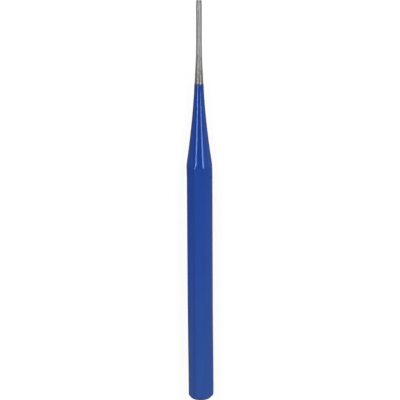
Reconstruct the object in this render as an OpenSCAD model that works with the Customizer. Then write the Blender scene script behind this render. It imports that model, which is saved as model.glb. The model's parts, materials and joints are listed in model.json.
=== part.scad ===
/* [Overall] */
// Length over the lacquer, from the crown of the head to the tip of the pin
overall_l = 150; // [130:1:180]
// Length of steel left bare, from the tip to the edge of the lacquer
bare_l = 29.75; // [22:0.25:40]
// Thickness of the lacquer
coat_t = 0.1; // [0.05:0.01:0.3]

/* [Pin] */
// Diameter of the parallel pin
pin_d = 2.1; // [1.5:0.1:3]
// Length of the parallel pin, tip chamfer included
pin_l = 15; // [10:0.5:18]
// Chamfer round the tip, along the pin and across it
tip_chamfer = 0.2; // [0.1:0.05:0.4]
// Growth in radius over the root of the pin
root_swell = 0.07; // [0.02:0.01:0.2]
// Length of the root, where the pin swells slightly
root_l = 5; // [2:0.5:10]

/* [Taper] */
// Length of the plain cone behind the root
cone_l = 10; // [5:0.5:15]
// Half-angle of the plain cone
cone_angle = 2.7; // [1.5:0.1:4]
// Radius of the wheel that grinds the taper hollow
hollow_r = 245; // [150:5:300]
// Half-angle at which the taper runs out over the flats
shoulder_angle = 7.9; // [6:0.1:12]

/* [Shank] */
// Width of the octagonal bar across its flats, without lacquer
flats_w = 9.2; // [8:0.1:12]
// Radius that rounds the eight edges of the bar
edge_r = 1; // [0.2:0.1:1.5]

/* [Head] */
// Diameter of the striking face, without lacquer
face_d = 7.6; // [5:0.1:7.8]
// Length of the head's chamfer, from the face to the edges of the bar
chamfer_l = 1.25; // [0.8:0.05:4]
// Height of the crowned striking face
crown_h = 0.95; // [0.3:0.05:1.5]

/* [Hidden] */

flats_n = 8;
flat_turn = 360 / flats_n;
overrun = 1;
round_fn = 96;
hollow_fn = 720;

pin_r = pin_d / 2;
root_r = pin_r + root_swell;
face_r = face_d / 2;
edge_centre_r = (flats_w / 2 - edge_r) / cos(flat_turn / 2);
corner_r = edge_centre_r + edge_r;

// Stations are measured along the axis from the lacquered crown of the head
crown_s = coat_t;
rim_s = crown_s + crown_h;
pin_s = overall_l - pin_l;
root_s = pin_s - root_l;
cone_s = root_s - cone_l;
coat_s = overall_l - bare_l;

// Radius of the sphere that the striking face is part of
crown_r = (face_r * face_r + crown_h * crown_h) / (2 * crown_h);
chamfer_angle = atan((corner_r - face_r) / chamfer_l);

// The hollow-ground stretch is an arc that leaves the cone and meets the shoulder without a step
cone_end_r = root_r + cone_l * tan(cone_angle);
hollow_s = cone_s - hollow_r * (sin(shoulder_angle) - sin(cone_angle));
hollow_end_r = cone_end_r + hollow_r * (cos(cone_angle) - cos(shoulder_angle));
wheel_r = cone_end_r + hollow_r * cos(cone_angle);
wheel_s = cone_s + hollow_r * sin(cone_angle);

// Half of the turned outline, with the axis at zero, grown by a coat all round
module outline(grow) {
    blank_r = corner_r + grow + overrun;
    chamfer_grow = grow / cos(chamfer_angle);
    shoulder_grow = grow / cos(shoulder_angle);
    blank_head_s = rim_s + (blank_r - face_r - chamfer_grow) / tan(chamfer_angle);
    blank_tip_s = hollow_s - (blank_r - hollow_end_r - shoulder_grow) / tan(shoulder_angle);

    difference() {
        polygon([
            [0, rim_s - (face_r + chamfer_grow) / tan(chamfer_angle)],
            [blank_r, blank_head_s],
            [blank_r, blank_tip_s],
            [hollow_end_r + grow * cos(shoulder_angle), hollow_s + grow * sin(shoulder_angle)],
            [cone_end_r + grow * cos(cone_angle), cone_s + grow * sin(cone_angle)],
            [root_r + grow, root_s],
            [pin_r + grow, pin_s],
            [pin_r + grow, overall_l - tip_chamfer],
            [pin_r + grow - tip_chamfer, overall_l],
            [0, overall_l]
        ]);
        translate([wheel_r, wheel_s])
            circle(r = hollow_r - grow, $fn = hollow_fn);
    }
}

// Section of the octagonal bar with rounded edges, lying on a flat, grown by a coat all round
module bar_section(grow) {
    rounding = edge_r + grow;
    touch_r = norm([flats_w / 2 + grow, edge_centre_r * sin(flat_turn / 2)]);
    touch_angle = atan2(edge_centre_r * sin(flat_turn / 2), flats_w / 2 + grow);
    polygon([
        for (side = [0 : flats_n - 1])
            for (end = [-1, 1])
                let (turn = side * flat_turn + end * touch_angle)
                    [touch_r * cos(turn), touch_r * sin(turn)]
    ]);
    for (side = [0 : flats_n - 1])
        rotate((side + 1 / 2) * flat_turn)
            translate([edge_centre_r, 0])
                circle(r = rounding, $fn = round_fn);
}

// What the crowning of the striking face takes off the head, less a coat.
// The sphere is turned so that its poles lie off the face.
module crown_cut(grow) {
    difference() {
        translate([0, 0, rim_s - crown_r])
            cylinder(r = corner_r + 2 * overrun, h = crown_r, $fn = round_fn);
        translate([0, 0, crown_s + crown_r])
            rotate([90, 0, 0])
                sphere(r = crown_r + grow, $fn = round_fn);
    }
}

// Whole form of the punch with its head at the origin and its axis up, grown by a coat
module form(grow) {
    difference() {
        intersection() {
            rotate_extrude($fn = round_fn)
                outline(grow);
            translate([0, 0, -overrun])
                linear_extrude(height = overall_l + 2 * overrun)
                    bar_section(grow);
        }
        crown_cut(grow);
    }
}

// Lays a piece along Y on one of its flats, tip towards +Y, with the origin under its middle
module lay_down() {
    translate([0, -overall_l / 2, flats_w / 2 + coat_t])
        rotate([-90, 0, 0])
            children();
}

// Forged and ground blank: pin, cone, hollow taper, octagonal shank and crowned head
module steel_punch() {
    color("darkgray")
        lay_down()
            form(0);
}

// Shell of lacquer over the taper, the shank and the whole head
module blue_coating() {
    color("royalblue")
        lay_down()
            difference() {
                intersection() {
                    form(coat_t);
                    translate([0, 0, -overrun])
                        cylinder(r = corner_r + 2 * overrun, h = coat_s + overrun, $fn = round_fn);
                }
                form(0);
            }
}

steel_punch();
blue_coating();
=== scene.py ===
"""A pin punch, dressed for pictures: ground steel with a dipped blue lacquer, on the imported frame."""

import json
import math

import bpy
import numpy as np
from mathutils import Matrix, Vector


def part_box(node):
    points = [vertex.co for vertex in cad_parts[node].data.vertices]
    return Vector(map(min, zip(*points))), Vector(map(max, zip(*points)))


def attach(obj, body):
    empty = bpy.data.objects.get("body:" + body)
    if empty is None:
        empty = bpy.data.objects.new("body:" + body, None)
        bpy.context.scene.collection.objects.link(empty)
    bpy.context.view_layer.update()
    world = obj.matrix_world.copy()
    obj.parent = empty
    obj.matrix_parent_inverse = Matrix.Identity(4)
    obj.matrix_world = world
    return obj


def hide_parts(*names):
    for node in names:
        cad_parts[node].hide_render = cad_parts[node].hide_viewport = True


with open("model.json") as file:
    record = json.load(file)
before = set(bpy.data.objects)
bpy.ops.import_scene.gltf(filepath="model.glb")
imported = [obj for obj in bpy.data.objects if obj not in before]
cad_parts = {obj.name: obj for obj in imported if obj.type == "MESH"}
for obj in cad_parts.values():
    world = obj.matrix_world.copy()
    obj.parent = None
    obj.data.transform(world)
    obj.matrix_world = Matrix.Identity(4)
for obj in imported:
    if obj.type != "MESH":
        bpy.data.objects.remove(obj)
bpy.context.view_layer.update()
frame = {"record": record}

MM = 0.001

# Sizes that the frame gives
steel_low, steel_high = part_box("steel_punch")
coat_low, coat_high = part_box("blue_coating")
drive_pin = next(m for m in frame["record"]["mounts"] if m["name"] == "drive_pin")

TIP_Y = steel_high.y
HEAD_Y = coat_low.y
LINE_Y = coat_high.y
AXIS_Z = (coat_low.z + coat_high.z) / 2
FLAT_R = (steel_high.z - steel_low.z) / 2
COAT_T = (coat_high.z - coat_low.z) / 2 - FLAT_R
PIN_R = drive_pin["dims"]["r_mm"] * MM

# Sizes of the form that no box shows
PIN_L = 15 * MM
ROOT_L = 5 * MM
ROOT_SWELL = 0.07 * MM
CONE_L = 10 * MM
CONE_ANGLE = math.radians(2.7)
HOLLOW_R = 245 * MM
SHOULDER_ANGLE = math.radians(7.9)
EDGE_R = 1.5 * MM
FACE_R = 3.63 * MM
CHAMFER_L = 1.45 * MM
CROWN_H = 0.95 * MM
TIP_CHAMFER = 0.2 * MM

# How softly two forms run into each other, as the difference in radius at which the rounding begins
SOFT_FLATS = 0.11 * MM
SOFT_RIM = 0.3 * MM
SOFT_ROOT = 0.03 * MM

# What hand work leaves of the plain form: the eight flats are crowned by a share of the way to round,
# the pin is under its size and eases toward the tip, and the hollow is deeper, most of all at its waist
CROWNED_FLATS = 0.15
PIN_UNDER = 0.0075 * MM
TIP_EASE = 0.12 * MM
TIP_EASE_L = 3 * MM
TIP_ROUND = 0.04 * MM
DEEPER = 0.033 * MM
WAIST_DEEPER = 0.05 * MM
WAIST_FROM_CORNER = 6.5 * MM
WAIST_L = 4.5 * MM
STEEL_RIPPLE = 0.003 * MM

# How far the middle of a ring strays to the right: on the taper, at the tip, and at the bend before the
# head, where the head leans back by a multiple of the bend
TAPER_STRAY = -0.12 * MM
TIP_STRAY = 0.055 * MM
BEND_STRAY = 0.165 * MM
HEAD_LEAN = 1.5

# The lacquer: its uneven end, the bead and the rounding beside it, and its gap to the steel inside
LINE_SHORT = 0.2 * MM
LINE_PULL_L = 3 * MM
BEAD_SWELL = 0.25
BEAD_FROM_LINE = 0.5 * MM
BEAD_L = 0.3 * MM
END_ROUND_L = 0.16 * MM
LEAST_FILM = 0.01 * MM
LAST_RING = 0.02 * MM
COAT_GAP = 0.002 * MM
COAT_RIPPLE = 0.0009 * MM

# Rings of the meshes: steps at the rim, along the shank and over the run-out into the flats
SEEN_STEPS = (0.06 * MM, 1 * MM, 0.12 * MM)
HIDDEN_STEPS = (0.12 * MM, 4 * MM, 0.36 * MM)
CROWN_RINGS = 25
TIP_ROUND_TURNS = (15, 45, 75)
# Rings from the tip's chamfer to its end, as a share of the way in and a place along the chamfer in mm
TIP_RINGS = ((0.45, 0.1), (0.9, 0.17), (1.0, 0.19), (1.12, 0.2), (1.6, 0.2))

SIDES = 8
SIDE_TURN = 2 * math.pi / SIDES
STEPS_PER_SIDE = 32

ROOT_R = PIN_R + ROOT_SWELL
CONE_END_R = ROOT_R + CONE_L * math.tan(CONE_ANGLE)
HOLLOW_L = HOLLOW_R * (math.sin(SHOULDER_ANGLE) - math.sin(CONE_ANGLE))
HOLLOW_END_R = CONE_END_R + HOLLOW_R * (math.cos(CONE_ANGLE) - math.cos(SHOULDER_ANGLE))
EDGE_CENTRE_R = (FLAT_R - EDGE_R) / math.cos(SIDE_TURN / 2)
CORNER_R = EDGE_CENTRE_R + EDGE_R
CROWN_R = (FACE_R**2 + CROWN_H**2) / (2 * CROWN_H)
CROWN_Y = HEAD_Y + COAT_T
RIM_Y = CROWN_Y + CROWN_H
CHAMFER_ANGLE = math.atan((CORNER_R - FACE_R) / CHAMFER_L)

# Distances from the tip at which the cone, the hollow and the shoulder begin
CONE_D = PIN_L + ROOT_L
HOLLOW_D = CONE_D + CONE_L
SHOULDER_D = HOLLOW_D + HOLLOW_L

# Where the shoulder has run out over the eight edges
CORNER_END_Y = TIP_Y - SHOULDER_D - (CORNER_R - HOLLOW_END_R) / math.tan(SHOULDER_ANGLE)


def smooth_min(a, b, soft):
    """Lesser of two radii, rounded off where they meet."""
    h = np.clip(0.5 + 0.5 * (b - a) / soft, 0, 1)
    return b + (a - b) * h - soft * h * (1 - h)


def smooth_max(a, b, soft):
    """Greater of two radii, filled in where they meet."""
    return -smooth_min(-a, -b, soft)


def rise(y, start, length):
    """From 0 at start to 1 at start + length, straight in between and held beyond."""
    return np.clip((y - start) / length, 0, 1)


def taper_radius(y, grow):
    """Radius of the turned end at a place along the tool: pin, root, cone, hollow and shoulder."""
    d = TIP_Y - y
    pin = np.full_like(d, PIN_R - PIN_UNDER)
    root = PIN_R + (d - PIN_L) * ROOT_SWELL / ROOT_L
    cone = ROOT_R + (d - CONE_D) * math.tan(CONE_ANGLE)
    straight = smooth_max(smooth_max(pin, root, SOFT_ROOT), cone, SOFT_ROOT)
    sine = math.sin(CONE_ANGLE) + (d - HOLLOW_D) / HOLLOW_R
    sine = np.clip(sine, math.sin(CONE_ANGLE), math.sin(SHOULDER_ANGLE))
    hollow = CONE_END_R + HOLLOW_R * (math.cos(CONE_ANGLE) - np.sqrt(1 - sine * sine))
    shoulder = HOLLOW_END_R + (d - SHOULDER_D) * math.tan(SHOULDER_ANGLE)
    r = np.where(d > SHOULDER_D, shoulder, np.where(d > HOLLOW_D, hollow, straight))
    ease = rise(y, TIP_Y - TIP_EASE_L, TIP_EASE_L)
    return r + grow - TIP_EASE * ease**2 - deeper(y)


def deeper(y):
    """What grinding takes off beyond the plain hollow, between the lacquer's end and the run-out."""
    within = rise(y, LINE_Y + 1 * MM, -4 * MM) * rise(y, CORNER_END_Y - 0.3 * MM, 1.8 * MM)
    waist = np.exp(-(((y - CORNER_END_Y - WAIST_FROM_CORNER) / WAIST_L) ** 2))
    return (DEEPER + WAIST_DEEPER * waist) * within


def head_radius(y, grow):
    """Radius of the crown and the chamfer at a place along the tool."""
    s = np.clip(y - CROWN_Y + grow, 0, CROWN_R)
    ball = CROWN_R + grow
    crown = np.sqrt(np.maximum(ball**2 - (ball - s) ** 2, 0))
    # Well past the chamfer the ball bounds nothing
    crown = np.where(y > RIM_Y + 3 * CHAMFER_L, 2 * CORNER_R, crown)
    chamfer = FACE_R + grow / math.cos(CHAMFER_ANGLE) + (y - RIM_Y) * math.tan(CHAMFER_ANGLE)
    return smooth_min(crown, chamfer, SOFT_RIM)


def bar_radius(turn, grow):
    """Radius of the octagonal bar with rounded edges at a turn around the axis."""
    off = np.abs((turn + SIDE_TURN / 2) % SIDE_TURN - SIDE_TURN / 2)
    flat = (FLAT_R + grow) / np.cos(off)
    edge = EDGE_R + grow
    away = SIDE_TURN / 2 - off
    inside = edge**2 - (EDGE_CENTRE_R * np.sin(away)) ** 2
    corner = EDGE_CENTRE_R * np.cos(away) + np.sqrt(np.maximum(inside, 0))
    touch = math.atan2(EDGE_CENTRE_R * math.sin(SIDE_TURN / 2), FLAT_R + grow)
    octagon = np.where(off > touch, corner, flat)
    return octagon + CROWNED_FLATS * (FLAT_R + grow - octagon)


def form_radius(y, turn, grow):
    """Radius of the whole punch, grown by a coat."""
    r = smooth_min(taper_radius(y, grow), bar_radius(turn, grow), SOFT_FLATS)
    return smooth_min(head_radius(y, grow), r, SOFT_FLATS)


def ripple(y, turn):
    """Slight unevenness of hand-held grinding and of the lacquer's flow, from -1 to 1."""
    mm = y / MM
    return (
        0.45 * np.sin(mm * 0.43 + 2.1 * np.sin(turn + 0.4) + 0.7)
        + 0.3 * np.sin(mm * 0.97 - 1.7 * np.cos(turn - 1.1) + 2.9)
        + 0.25 * np.sin(mm * 1.9 + 3 * np.sin(turn * 2 + 1.3))
    )


def turns():
    """Turns around the axis, closer together at the eight edges."""
    t = (np.arange(STEPS_PER_SIDE) + 0.5) / STEPS_PER_SIDE * 2 - 1
    within = SIDE_TURN / 2 * t * (1.35 - 0.35 * t * t)
    return np.concatenate([k * SIDE_TURN + within for k in range(SIDES)])


def stations(first, stops):
    """The first places, and on from the last by (end, step) pairs, in even steps of about that size."""
    out = list(first)
    for end, step in stops:
        count = max(1, round(abs(end - out[-1]) / step))
        out.extend(np.linspace(out[-1], end, count + 1)[1:])
    return np.array(out)


def head_stations(grow):
    """Places on the crown, even in angle from beside the middle of the face to about its rim."""
    ball = CROWN_R + grow
    last = math.acos(1 - (CROWN_H + 0.1 * MM) / ball)
    angle = np.linspace(0, last, CROWN_RINGS + 1)[1:]
    return CROWN_Y - grow + ball * (1 - np.cos(angle))


def shank_stops(steps):
    """(end, step) pairs from the crown to past the run-out into the flats."""
    ends = (RIM_Y + CHAMFER_L + 1.2 * MM, CORNER_END_Y - 2 * MM, CORNER_END_Y + 4.5 * MM)
    return list(zip(ends, steps))


def rings_to_mesh(name, rings, caps):
    """A closed mesh from rings of points that run on from each other, with a middle point at each end."""
    count = len(rings[0])
    points = [caps[0], *[point for circle in rings for point in circle], caps[1]]
    last = len(points) - 1
    last_ring = 1 + (len(rings) - 1) * count
    faces = []
    for k in range(count):
        n = (k + 1) % count
        faces.append((0, 1 + n, 1 + k))
        faces.append((last, last_ring + k, last_ring + n))
        for a in range(1, last_ring, count):
            b = a + count
            faces.append((a + k, a + n, b + n, b + k))
    mesh = bpy.data.meshes.new(name)
    mesh.from_pydata([tuple(p) for p in points], [], faces)
    mesh.validate()
    mesh.polygons.foreach_set("use_smooth", [True] * len(mesh.polygons))
    mesh.update()
    piece = bpy.data.objects.new(name, mesh)
    bpy.context.scene.collection.objects.link(piece)
    return piece


def stray(y):
    """How far to the right the middle of a ring lies, through grinding by hand and a bend before the head."""
    taper = np.exp(-(((y - 28 * MM) / (26 * MM)) ** 2)) * rise(y, CORNER_END_Y - 3 * MM, 4 * MM)
    tip = rise(y, LINE_Y, TIP_Y - LINE_Y)
    bend = rise(y, -35 * MM, -37 * MM)
    head = rise(y, -72.3 * MM, -2.5 * MM)
    bent = bend * bend * (3 - 2 * bend) - HEAD_LEAN * head
    return TAPER_STRAY * taper + TIP_STRAY * tip + BEND_STRAY * bent


def ring(y, radius, turn):
    """Points of one ring. A turn of zero points straight up, and turns go round towards +X."""
    y = np.broadcast_to(y, turn.shape)
    return np.stack([stray(y) + radius * np.sin(turn), y, AXIS_Z + radius * np.cos(turn)], axis=1)


def build_steel():
    """Forged and ground blank, from the crowned head to the tip of the pin."""
    turn = turns()
    stops = shank_stops(SEEN_STEPS) + [
        (LINE_Y - 1 * MM, 0.8 * MM),
        (LINE_Y + 1 * MM, 0.1 * MM),
        (TIP_Y - CONE_D - 2 * MM, 0.4 * MM),
        (TIP_Y - PIN_L + 2 * MM, 0.25 * MM),
        (TIP_Y - 2 * MM, 0.5 * MM),
        (TIP_Y - TIP_CHAMFER, 0.1 * MM),
    ]
    rings = []
    for y in stations(head_stations(0), stops):
        y = np.full_like(turn, y)
        rippled = STEEL_RIPPLE * ripple(y, turn) * rise(y, LINE_Y, 1 * MM)
        rings.append(ring(y, form_radius(y, turn, 0) + rippled, turn))
    end_y = TIP_Y - TIP_CHAMFER
    end_r = float(taper_radius(np.array([end_y]), 0)[0])
    for angle in np.radians(TIP_ROUND_TURNS):
        r = end_r - TIP_ROUND * (1 - math.cos(angle))
        rings.append(ring(end_y + TIP_ROUND * math.sin(angle), r, turn))
    for inward, along in TIP_RINGS:
        r = end_r - TIP_ROUND - inward * (TIP_CHAMFER - TIP_ROUND)
        rings.append(ring(end_y + along * MM, r, turn))
    return rings_to_mesh("ground_steel_punch", rings, [(0, CROWN_Y, AXIS_Z), (0, TIP_Y, AXIS_Z)])


def pulled_back(y, turn):
    """Places of a ring of lacquer. Near its end they fall short of y, unevenly round the taper."""
    uneven = 0.05 * np.sin(turn + 0.8) + 0.03 * np.sin(2 * turn + 2.2) + 0.015 * np.sin(5 * turn)
    return y - (LINE_SHORT + MM * uneven) * rise(y, LINE_Y - LINE_PULL_L, LINE_PULL_L)


def build_coat():
    """Dipped lacquer as a thin closed shell, with softly rounded edges and a bead along its end."""
    turn = turns()
    end_y = LINE_Y - LAST_RING
    head = head_stations(COAT_T)
    stops = shank_stops(SEEN_STEPS) + [
        (LINE_Y - LINE_PULL_L, 0.6 * MM),
        (LINE_Y - 0.3 * MM, 0.15 * MM),
        (end_y, 0.03 * MM),
    ]
    outer = []
    for y in stations(head, stops):
        moved = pulled_back(y, turn)
        to_line = LINE_Y - y
        bead = 1 + BEAD_SWELL * np.exp(-(((to_line - BEAD_FROM_LINE) / BEAD_L) ** 2))
        rounded = np.sqrt(1 - rise(to_line, END_ROUND_L, -END_ROUND_L) ** 2)
        bare = form_radius(moved, turn, 0)
        film = (form_radius(moved, turn, COAT_T) - bare) * bead * rounded
        rippled = COAT_RIPPLE * ripple(moved, turn) * rise(y, head[-1], 2 * MM) * rounded
        outer.append(ring(moved, bare + np.maximum(film, LEAST_FILM) + rippled, turn))
    inner = []
    for y in stations(head_stations(0), [*shank_stops(HIDDEN_STEPS), (end_y, 1.8 * MM)])[::-1]:
        moved = pulled_back(y, turn)
        inner.append(ring(moved, form_radius(moved, turn, 0) + COAT_GAP, turn))
    caps = [(0, HEAD_Y, AXIS_Z), (0, CROWN_Y - COAT_GAP, AXIS_Z)]
    return rings_to_mesh("blue_lacquer_coat", outer + inner, caps)


# Materials

# Base colours in linear light. A pair holds the two ends that a fine noise drifts between
STEEL = ((0.315, 0.313, 0.307), (0.335, 0.333, 0.326))
STEEL_CLOUD = (0.22, 0.217, 0.21)
STEEL_WORN_TIP = (0.17, 0.165, 0.16)
STEEL_BESIDE_LACQUER = (0.33, 0.32, 0.275)
LACQUER_ON_SHANK = ((0.0079, 0.038, 0.226), (0.0088, 0.0411, 0.239))
LACQUER_NEAR_HEAD = ((0.0089, 0.0395, 0.207), (0.0098, 0.0425, 0.221))
# Lacquer on the taper, darkened by painted shade
LACQUER_ON_TAPER_SHADED = ((0.0066, 0.0302, 0.194), (0.0072, 0.0325, 0.206))
# Painted shade along the lacquer's end
LACQUER_END_SHADE = (0.024, 0.037, 0.09)
# Painted shade on the chamfer and crown of the head
LACQUER_HEAD_SHADE = (0.008, 0.033, 0.17)


class Nodes:
    """Short names for building a node tree."""

    def __init__(self, tree):
        self.tree = tree
        tree.nodes.clear()

    def add(self, kind, **settings):
        node = self.tree.nodes.new(kind)
        for key, value in settings.items():
            setattr(node, key, value)
        return node

    def link(self, a, b):
        self.tree.links.new(a, b)

    def math(self, operation, *values):
        node = self.add("ShaderNodeMath", operation=operation)
        for socket, value in zip(node.inputs, values):
            if isinstance(value, (int, float)):
                socket.default_value = value
            else:
                self.link(value, socket)
        return node.outputs[0]

    def plus(self, a, b):
        return self.math("ADD", a, b)

    def times(self, a, b):
        return self.math("MULTIPLY", a, b)

    def greater(self, a, b):
        return self.math("MAXIMUM", a, b)

    def ramp(self, value, low, high, start, end):
        """Eases from start to end as the value goes from low to high, and holds them beyond."""
        node = self.add("ShaderNodeMapRange", interpolation_type="SMOOTHSTEP")
        self.link(value, node.inputs["Value"])
        for key, number in (("From Min", low), ("From Max", high), ("To Min", start), ("To Max", end)):
            node.inputs[key].default_value = number
        return node.outputs[0]

    def split(self, vector):
        node = self.add("ShaderNodeSeparateXYZ")
        self.link(vector, node.inputs[0])
        return node.outputs["X"], node.outputs["Y"], node.outputs["Z"]

    def noise(self, vector, scale, detail, roughness):
        node = self.add("ShaderNodeTexNoise")
        self.link(vector, node.inputs["Vector"])
        node.inputs["Scale"].default_value = scale
        node.inputs["Detail"].default_value = detail
        node.inputs["Roughness"].default_value = roughness
        return node.outputs["Fac"]

    def scaled(self, vector, scale):
        node = self.add("ShaderNodeMapping")
        self.link(vector, node.inputs["Vector"])
        node.inputs["Scale"].default_value = scale
        return node.outputs["Vector"]

    def bump(self, height, strength, distance):
        node = self.add("ShaderNodeBump")
        node.inputs["Strength"].default_value = strength
        node.inputs["Distance"].default_value = distance
        self.link(height, node.inputs["Height"])
        return node.outputs[0]

    def mix(self, factor, a, b):
        node = self.add("ShaderNodeMix", data_type="RGBA")
        self.link(factor, node.inputs["Factor"])
        for socket, value in ((node.inputs["A"], a), (node.inputs["B"], b)):
            if isinstance(value, tuple):
                socket.default_value = (*value, 1)
            else:
                self.link(value, socket)
        return node.outputs["Result"]


def new_material(name):
    material = bpy.data.materials.new(name)
    material.use_nodes = True
    nodes = Nodes(material.node_tree)
    out = nodes.add("ShaderNodeOutputMaterial")
    shader = nodes.add("ShaderNodeBsdfPrincipled")
    nodes.link(shader.outputs[0], out.inputs["Surface"])
    where = nodes.add("ShaderNodeTexCoord").outputs["Object"]
    return material, nodes, shader, where


def ground_steel():
    """Fine ground tool steel with turned marks, a worn tip and a warmer tint beside the lacquer."""
    material, nodes, shader, where = new_material("ground_steel")
    _, y, _ = nodes.split(where)

    marks = nodes.noise(nodes.scaled(where, (60, 2500, 60)), 1.0, 4.0, 0.65)
    clouds = nodes.noise(where, 260, 3.0, 0.6)
    colour = nodes.mix(nodes.ramp(marks, 0.3, 0.7, 0, 1), *STEEL)
    colour = nodes.mix(nodes.ramp(clouds, 0.45, 0.75, 0, 0.3), colour, STEEL_CLOUD)
    near_tip = nodes.ramp(y, TIP_Y - 1.8 * MM, TIP_Y - 1.1 * MM, 0, 0.5)
    before_end = nodes.ramp(y, TIP_Y - 0.7 * MM, TIP_Y - 0.1 * MM, 1, 0)
    colour = nodes.mix(nodes.times(near_tip, before_end), colour, STEEL_WORN_TIP)
    beside = nodes.ramp(y, LINE_Y + 0.1 * MM, LINE_Y + 2.2 * MM, 0.6, 0)
    colour = nodes.mix(beside, colour, STEEL_BESIDE_LACQUER)
    nodes.link(colour, shader.inputs["Base Color"])

    # The cone is smoother than the pin
    rough = nodes.ramp(y, TIP_Y - CONE_D - 1 * MM, TIP_Y - PIN_L - 3 * MM, 0.29, 0.46)
    rough = nodes.plus(nodes.ramp(marks, 0.25, 0.75, -0.02, 0.02), rough)
    nodes.link(rough, shader.inputs["Roughness"])
    nodes.link(nodes.bump(marks, 0.15, 0.001 * MM), shader.inputs["Normal"])

    # Turned marks spread what the steel mirrors along the tool
    around = nodes.add("ShaderNodeTangent", direction_type="RADIAL", axis="Y")
    nodes.link(around.outputs[0], shader.inputs["Tangent"])
    shader.inputs["Anisotropic"].default_value = 0.86
    shader.inputs["Anisotropic Rotation"].default_value = 0.25
    shader.inputs["Metallic"].default_value = 1.0
    shader.inputs["Specular Tint"].default_value = (0.5, 0.5, 0.5, 1)
    return material


def blue_lacquer():
    """Glossy royal blue lacquer, a little greyer toward the head, with painted shade on the taper, its end
    and its head.
    """
    material, nodes, shader, where = new_material("blue_lacquer")
    _, y, _ = nodes.split(where)

    clouds = nodes.noise(nodes.scaled(where, (1, 0.3, 1)), 300, 2.0, 0.5)
    drift = nodes.ramp(clouds, 0.3, 0.7, 0, 1)
    toward_head = nodes.ramp(y, -68 * MM, -15 * MM, 1, 0)
    shank = nodes.mix(toward_head, nodes.mix(drift, *LACQUER_ON_SHANK), nodes.mix(drift, *LACQUER_NEAR_HEAD))
    # Painted shade: the lacquer on the taper is darker than on the shank.
    taper_shade = nodes.ramp(y, CORNER_END_Y - 3 * MM, CORNER_END_Y + 6 * MM, 0, 1)
    colour = nodes.mix(taper_shade, shank, nodes.mix(drift, *LACQUER_ON_TAPER_SHADED))
    # Painted shade: the lacquer darkens along its end, where the rounded bead turns from the light.
    near_end_shade = nodes.ramp(y, LINE_Y - 1.5 * MM, LINE_Y - 0.5 * MM, 0, 0.8)
    colour = nodes.mix(near_end_shade, colour, LACQUER_END_SHADE)
    # Painted shade: the lacquer darkens over the chamfer and crown at the head's end.
    head_shade = nodes.ramp(y, HEAD_Y + 0.8 * MM, HEAD_Y + 2.6 * MM, 0.5, 0)
    colour = nodes.mix(head_shade, colour, LACQUER_HEAD_SHADE)
    nodes.link(colour, shader.inputs["Base Color"])

    gloss = nodes.noise(where, 900, 3.0, 0.55)
    nodes.link(nodes.ramp(gloss, 0.3, 0.7, 0.09, 0.13), shader.inputs["Roughness"])
    peel = nodes.noise(where, 700, 2.0, 0.5)
    nodes.link(nodes.bump(peel, 0.16, 0.004 * MM), shader.inputs["Normal"])

    shader.inputs["IOR"].default_value = 1.72
    shader.inputs["Specular Tint"].default_value = (0.42, 0.66, 1.0, 1)
    return material


# Studio

FLOOR_HALF = 2.0
# What the floor scatters, and what it shows of itself to the eye
FLOOR_GREY = 0.13
FLOOR_WHITE = 0.87
# Light that comes from everywhere in the room
ROOM_LEVEL = 0.05
# Distance of the strip lights from the axis
STRIP_AWAY = 0.8
# Width of the frame in pixels, the unit of the camera's focal length
FRAME_PX = 400


def whitened_floor():
    """Floor that the eye sees nearly white and that keeps the soft shadow.

    Mirrored in the tool it is dimmer, with painted light and shade: pale around the bare steel, on the right
    and toward the head, and a painted shadow close beside the lacquer.
    """
    mesh = bpy.data.meshes.new("floor")
    corners = [(x * FLOOR_HALF, y * FLOOR_HALF, 0) for x, y in ((-1, -1), (1, -1), (1, 1), (-1, 1))]
    mesh.from_pydata(corners, [], [(0, 1, 2, 3)])
    floor = bpy.data.objects.new("floor", mesh)
    bpy.context.scene.collection.objects.link(floor)
    material = bpy.data.materials.new("floor")
    material.use_nodes = True
    nodes = Nodes(material.node_tree)
    out = nodes.add("ShaderNodeOutputMaterial")
    matt = nodes.add("ShaderNodeBsdfDiffuse")
    matt.inputs["Color"].default_value = (FLOOR_GREY, FLOOR_GREY, FLOOR_GREY, 1)
    white = nodes.add("ShaderNodeEmission")

    x, y, _ = nodes.split(nodes.add("ShaderNodeTexCoord").outputs["Object"])
    aside = nodes.math("ABSOLUTE", x)
    past_head = nodes.math("SUBTRACT", HEAD_Y, y)
    # Painted light in mirrors only: a pale glow beside the tool, to its right, past the head and around the
    # bare steel
    near = nodes.ramp(aside, 25 * MM, 80 * MM, 0.2, 0.04)
    right = nodes.ramp(x, 5 * MM, 15 * MM, 0.0, 0.36)
    head_end = nodes.ramp(past_head, -65 * MM, 35 * MM, 0.0, 0.45)
    # Painted shadow: in mirrors the floor darkens close beside the tool
    clear = nodes.ramp(nodes.greater(aside, past_head), 6 * MM, 22 * MM, 0.1, 1.0)
    bare_end = nodes.ramp(y, LINE_Y - 2 * MM, LINE_Y + 8 * MM, 0.0, 0.75)
    painted_mirror_light_and_shade = nodes.times(nodes.greater(nodes.plus(near, right), head_end), clear)
    painted_mirror_light_and_shade = nodes.greater(painted_mirror_light_and_shade, bare_end)

    ray = nodes.add("ShaderNodeLightPath").outputs
    mirrored = nodes.times(nodes.greater(ray["Is Glossy Ray"], ray["Is Transmission Ray"]), painted_mirror_light_and_shade)
    seen = nodes.greater(ray["Is Camera Ray"], mirrored)
    nodes.link(nodes.times(seen, FLOOR_WHITE), white.inputs["Strength"])
    both = nodes.add("ShaderNodeAddShader")
    nodes.link(matt.outputs[0], both.inputs[0])
    nodes.link(white.outputs[0], both.inputs[1])
    nodes.link(both.outputs[0], out.inputs["Surface"])
    mesh.materials.append(material)


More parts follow.
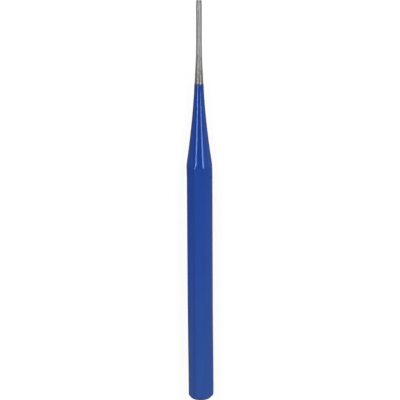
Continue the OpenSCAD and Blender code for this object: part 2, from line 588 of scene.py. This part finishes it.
def soft_room():
    """A dim room: a soft window high up behind the head, paler walls, and fill from beyond the tip.

    The fill comes from both sides, strong from high up and weak near the floor, and a trace of it comes
    from beyond the head.
    The ramps run over the parts of a direction of length 1.
    """
    world = bpy.data.worlds.new("room")
    bpy.context.scene.world = world
    world.use_nodes = True
    nodes = Nodes(world.node_tree)
    out = nodes.add("ShaderNodeOutputWorld")
    light = nodes.add("ShaderNodeBackground")
    nodes.link(light.outputs[0], out.inputs["Surface"])
    x, y, z = nodes.split(nodes.add("ShaderNodeTexCoord").outputs["Generated"])

    window = nodes.times(nodes.ramp(y, -0.42, 0.02, 0.64, 0.0), nodes.ramp(y, -0.7, -0.42, 0.2, 1.0))
    across = nodes.times(nodes.ramp(x, -1.0, -0.2, 0.6, 1.0), nodes.ramp(x, 0.2, 1.0, 1.0, 0.7))
    window = nodes.times(window, across)

    right_wall = nodes.times(nodes.ramp(x, 0.5, 1.0, 0.0, 1.0), nodes.ramp(y, -0.14, -0.02, 0.18, 0.45))
    left_wall = nodes.times(nodes.ramp(x, -1.0, -0.75, 1.0, 0.0), nodes.ramp(y, -0.14, -0.02, 0.0, 0.35))
    walls = nodes.plus(right_wall, left_wall)

    sides = nodes.plus(nodes.ramp(x, -0.6, -0.22, 72.0, 0.0), nodes.ramp(x, 0.27, 0.62, 0.0, 108.0))
    ends = nodes.plus(nodes.ramp(y, 0.5, 0.75, 0.0, 1.0), nodes.ramp(y, -0.75, -0.5, 0.04, 0.0))
    high_fill = nodes.times(nodes.times(sides, ends), nodes.ramp(z, 0.35, 0.65, 0.0, 1.0))
    low_sides = nodes.plus(nodes.ramp(x, -0.86, -0.72, 2.5, 0.0), nodes.ramp(x, 0.72, 0.86, 0.0, 4.5))
    low_fill = nodes.times(low_sides, nodes.ramp(y, 0.36, 0.44, 0.0, 1.0))
    fill = nodes.plus(high_fill, low_fill)

    level = nodes.plus(nodes.plus(window, walls), nodes.plus(fill, ROOM_LEVEL))
    nodes.link(level, light.inputs["Strength"])
    light.inputs["Color"].default_value = (1, 1, 1, 1)


def placed(right, up, back, place):
    """Matrix of a light or a camera from its three axes and its place."""
    return Matrix.Translation(place) @ Matrix((right, up, back)).transposed().to_4x4()


def strip_light(name, turn, width, low, high, radiance):
    """A long soft box, whose stripe the taper or the steel mirrors but the front of the shank doesn't.

    It lies along the tool from low to high, turned from straight above toward +X by degrees.
    """
    lamp = bpy.data.lights.new(name, "AREA")
    lamp.shape = "RECTANGLE"
    lamp.size, lamp.size_y = width, high - low
    lamp.energy = radiance * math.pi * lamp.size * lamp.size_y
    light = bpy.data.objects.new(name, lamp)
    turn = math.radians(turn)
    back = Vector((math.sin(turn), 0, math.cos(turn)))
    side = Vector((math.cos(turn), 0, -math.sin(turn)))
    middle = Vector((0, (low + high) / 2, AXIS_Z)) + back * STRIP_AWAY
    light.matrix_world = placed(side, Vector((0, 1, 0)), back, middle)
    bpy.context.scene.collection.objects.link(light)


def camera():
    """Camera about 0.4 m away, above the tip half and a little to the right."""
    away = 0.4
    tilt = math.radians(10)
    side = math.radians(3.2)
    roll = math.radians(0.29)
    lens_px = 1080.3
    aim_x = 0.09 * MM
    aim_y = 2.19 * MM
    data = bpy.data.cameras.new("camera")
    data.sensor_width = 36
    data.lens = lens_px / FRAME_PX * data.sensor_width
    data.clip_start = 0.01
    data.clip_end = 20
    eye = bpy.data.objects.new("camera", data)
    bpy.context.scene.collection.objects.link(eye)
    out = Vector((math.sin(side), 0, math.cos(side)))
    place = Vector((0, 0, AXIS_Z)) + away * (math.sin(tilt) * Vector((0, 1, 0)) + math.cos(tilt) * out)
    right = Vector((math.cos(side), 0, -math.sin(side)))
    forward = (Vector((0, aim_y, AXIS_Z)) + right * aim_x - place).normalized()
    right = (right - forward * right.dot(forward)).normalized()
    up = right.cross(forward)
    rolled_right = right * math.cos(roll) - up * math.sin(roll)
    rolled_up = up * math.cos(roll) + right * math.sin(roll)
    eye.matrix_world = placed(rolled_right, rolled_up, -forward, place)
    bpy.context.scene.camera = eye


bpy.context.scene.view_settings.view_transform = "Standard"
camera()
soft_room()
whitened_floor()
strip_light("strip_left", turn=-26.8, width=0.15, low=-20 * MM, high=145 * MM, radiance=8.2)
strip_light("strip_right", turn=38.2, width=0.18, low=75 * MM, high=210 * MM, radiance=5.8)
strip_light("strip_above", turn=-16.5, width=0.06, low=280 * MM, high=450 * MM, radiance=21.0)

steel = build_steel()
steel.data.materials.append(ground_steel())
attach(steel, "root")
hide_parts("steel_punch")

coat = build_coat()
coat.data.materials.append(blue_lacquer())
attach(coat, "root")
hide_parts("blue_coating")
